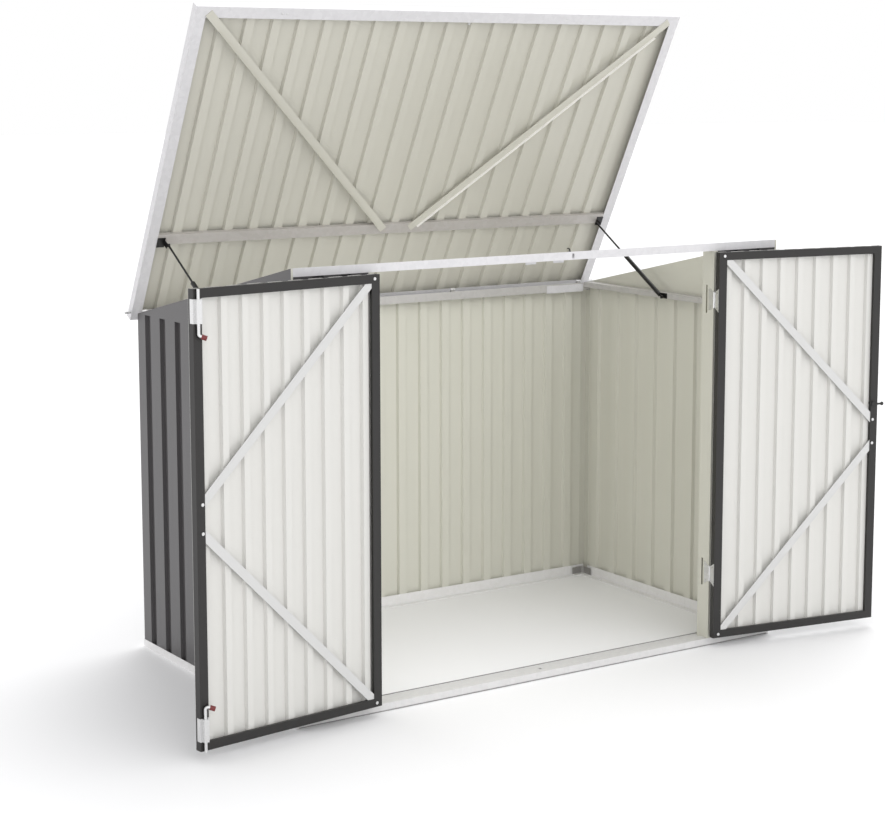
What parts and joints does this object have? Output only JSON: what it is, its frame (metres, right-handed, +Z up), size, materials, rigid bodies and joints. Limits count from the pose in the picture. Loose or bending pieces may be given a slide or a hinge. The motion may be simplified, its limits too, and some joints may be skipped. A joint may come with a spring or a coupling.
{
  "type": "bike shed",
  "caption": "Ribbed sheet-metal shed for bicycles, with hinged double doors and a sloping lid on gas struts.",
  "frame": {"origin": "centre of the body's footprint, on the ground", "axes": "+X towards the viewer's right along the front, +Y from the door front to the back wall, +Z up"},
  "size_m": [2.7058, 1.2849, 2.2073],
  "materials": {
    "coated_sheet": "satin",
    "frame_grey": "satin",
    "frame_light": "satin",
    "door_frame_dark": "satin",
    "door_sheet": "satin",
    "zinc_steel": "satin",
    "black_metal": "satin",
    "black_plastic": "matt",
    "cap_red": "glossy"
  },
  "bodies": {
    "body": {"base_threshold_front": "frame_grey", "base_rail_left": "frame_grey", "base_rail_right": "frame_grey", "base_rail_back": "frame_grey", "base_corner_plates": "zinc_steel", "wall_left": "coated_sheet", "wall_right": "coated_sheet", "wall_back": "coated_sheet", "gable_left": "coated_sheet", "gable_right": "coated_sheet", "front_panel_left": "coated_sheet", "front_panel_right": "coated_sheet", "corner_angles": "coated_sheet", "top_rail_left": "frame_grey", "top_rail_right": "frame_grey", "top_rail_back": "frame_grey", "top_bar_front": "frame_light", "front_post_left": "coated_sheet", "front_post_right": "coated_sheet", "post_head_plates": "zinc_steel", "door_stops": "frame_light", "post_hinge_leaves": "zinc_steel", "door_hinge_pins": "zinc_steel", "lid_rod_holders": "zinc_steel", "strut_lower_studs": "black_metal", "hook_stud": "zinc_steel"},
    "hook": {"lid_hook": "black_metal"},
    "left_door": {"left_door_stiles": "door_frame_dark", "left_door_rails": "door_frame_dark", "left_door_panel": "door_sheet", "left_door_braces": "door_sheet", "left_door_leaves": "zinc_steel", "left_door_rivets": "zinc_steel", "bolt_guides": "zinc_steel"},
    "top_bolt": {"top_bolt": "zinc_steel", "top_bolt_cap": "cap_red"},
    "bottom_bolt": {"bottom_bolt": "zinc_steel", "bottom_bolt_cap": "cap_red"},
    "right_door": {"right_door_stiles": "door_frame_dark", "right_door_rails": "door_frame_dark", "right_door_panel": "door_sheet", "right_door_braces": "door_sheet", "right_door_leaves": "zinc_steel", "right_door_rivets": "zinc_steel"},
    "latch": {"latch_cam": "black_plastic", "latch_handle": "black_plastic"},
    "lid": {"lid_rail_front": "frame_light", "lid_rail_rear": "frame_light", "lid_rail_left": "frame_light", "lid_rail_right": "frame_light", "lid_sheet": "coated_sheet", "lid_cross_rail": "frame_light", "lid_braces": "frame_light", "lid_strut_brackets": "black_metal", "lid_hinge_rod": "zinc_steel", "lid_keeper": "zinc_steel"},
    "strut_left": {"strut_cylinder_left": "black_metal"},
    "strut_right": {"strut_cylinder_right": "black_metal"},
    "strut_rod_left": {"strut_rod_left": "black_metal"},
    "strut_rod_right": {"strut_rod_right": "black_metal"}
  },
  "joints": [
    {"name": "lid_hinge", "type": "hinge", "parent": "body", "child": "lid", "pos_m": [0, 0.5589, 1.1772], "axis": [1, 0, 0], "range_deg": [0, 49.5]},
    {"name": "left_door_hinge", "type": "hinge", "parent": "body", "child": "left_door", "pos_m": [-0.67975, -0.5485, 0], "axis": [0, 0, -1], "range_deg": [-173.1, 5]},
    {"name": "right_door_hinge", "type": "hinge", "parent": "body", "child": "right_door", "pos_m": [0.67975, -0.5485, 0], "axis": [0, 0, 1], "range_deg": [-170.9, 7]},
    {"name": "top_bolt_slide", "type": "slide", "parent": "left_door", "child": "top_bolt", "axis": [0, 0, 1], "range_m": [0, 0.028]},
    {"name": "bottom_bolt_slide", "type": "slide", "parent": "left_door", "child": "bottom_bolt", "axis": [0, 0, -1], "range_m": [0, 0.018]},
    {"name": "latch_turn", "type": "hinge", "parent": "right_door", "child": "latch", "pos_m": [1.31853, -0.6813, 0.819], "axis": [-0.1582, -0.9874, 0], "range_deg": [0, 90]},
    {"name": "hook_turn", "type": "hinge", "parent": "body", "child": "hook", "pos_m": [0.088, -0.518, 1.399], "axis": [0, -1, 0], "range_deg": [0, 60]},
    {"name": "strut_left_swing", "type": "hinge", "parent": "body", "child": "strut_left", "pos_m": [-0.909, 0.008, 1.165], "axis": [1, 0, 0], "range_deg": [-22.5, 0.3]},
    {"name": "strut_right_swing", "type": "hinge", "parent": "body", "child": "strut_right", "pos_m": [0.909, 0.008, 1.165], "axis": [1, 0, 0], "range_deg": [-22.5, 0.3]},
    {"name": "strut_left_stroke", "type": "slide", "parent": "strut_left", "child": "strut_rod_left", "axis": [0, 0.8462, 0.5328], "range_m": [-0.1945, 0.001]},
    {"name": "strut_right_stroke", "type": "slide", "parent": "strut_right", "child": "strut_rod_right", "axis": [0, 0.8462, 0.5328], "range_m": [-0.1945, 0.001]}
  ],
  "couplings": [
    {"joint": "strut_left_swing", "follows": "lid_hinge", "ratio": -0.44848},
    {"joint": "strut_left_stroke", "follows": "lid_hinge", "m_per_rad": -0.2235},
    {"joint": "strut_right_swing", "follows": "lid_hinge", "ratio": -0.44848},
    {"joint": "strut_right_stroke", "follows": "lid_hinge", "m_per_rad": -0.2235}
  ]
}
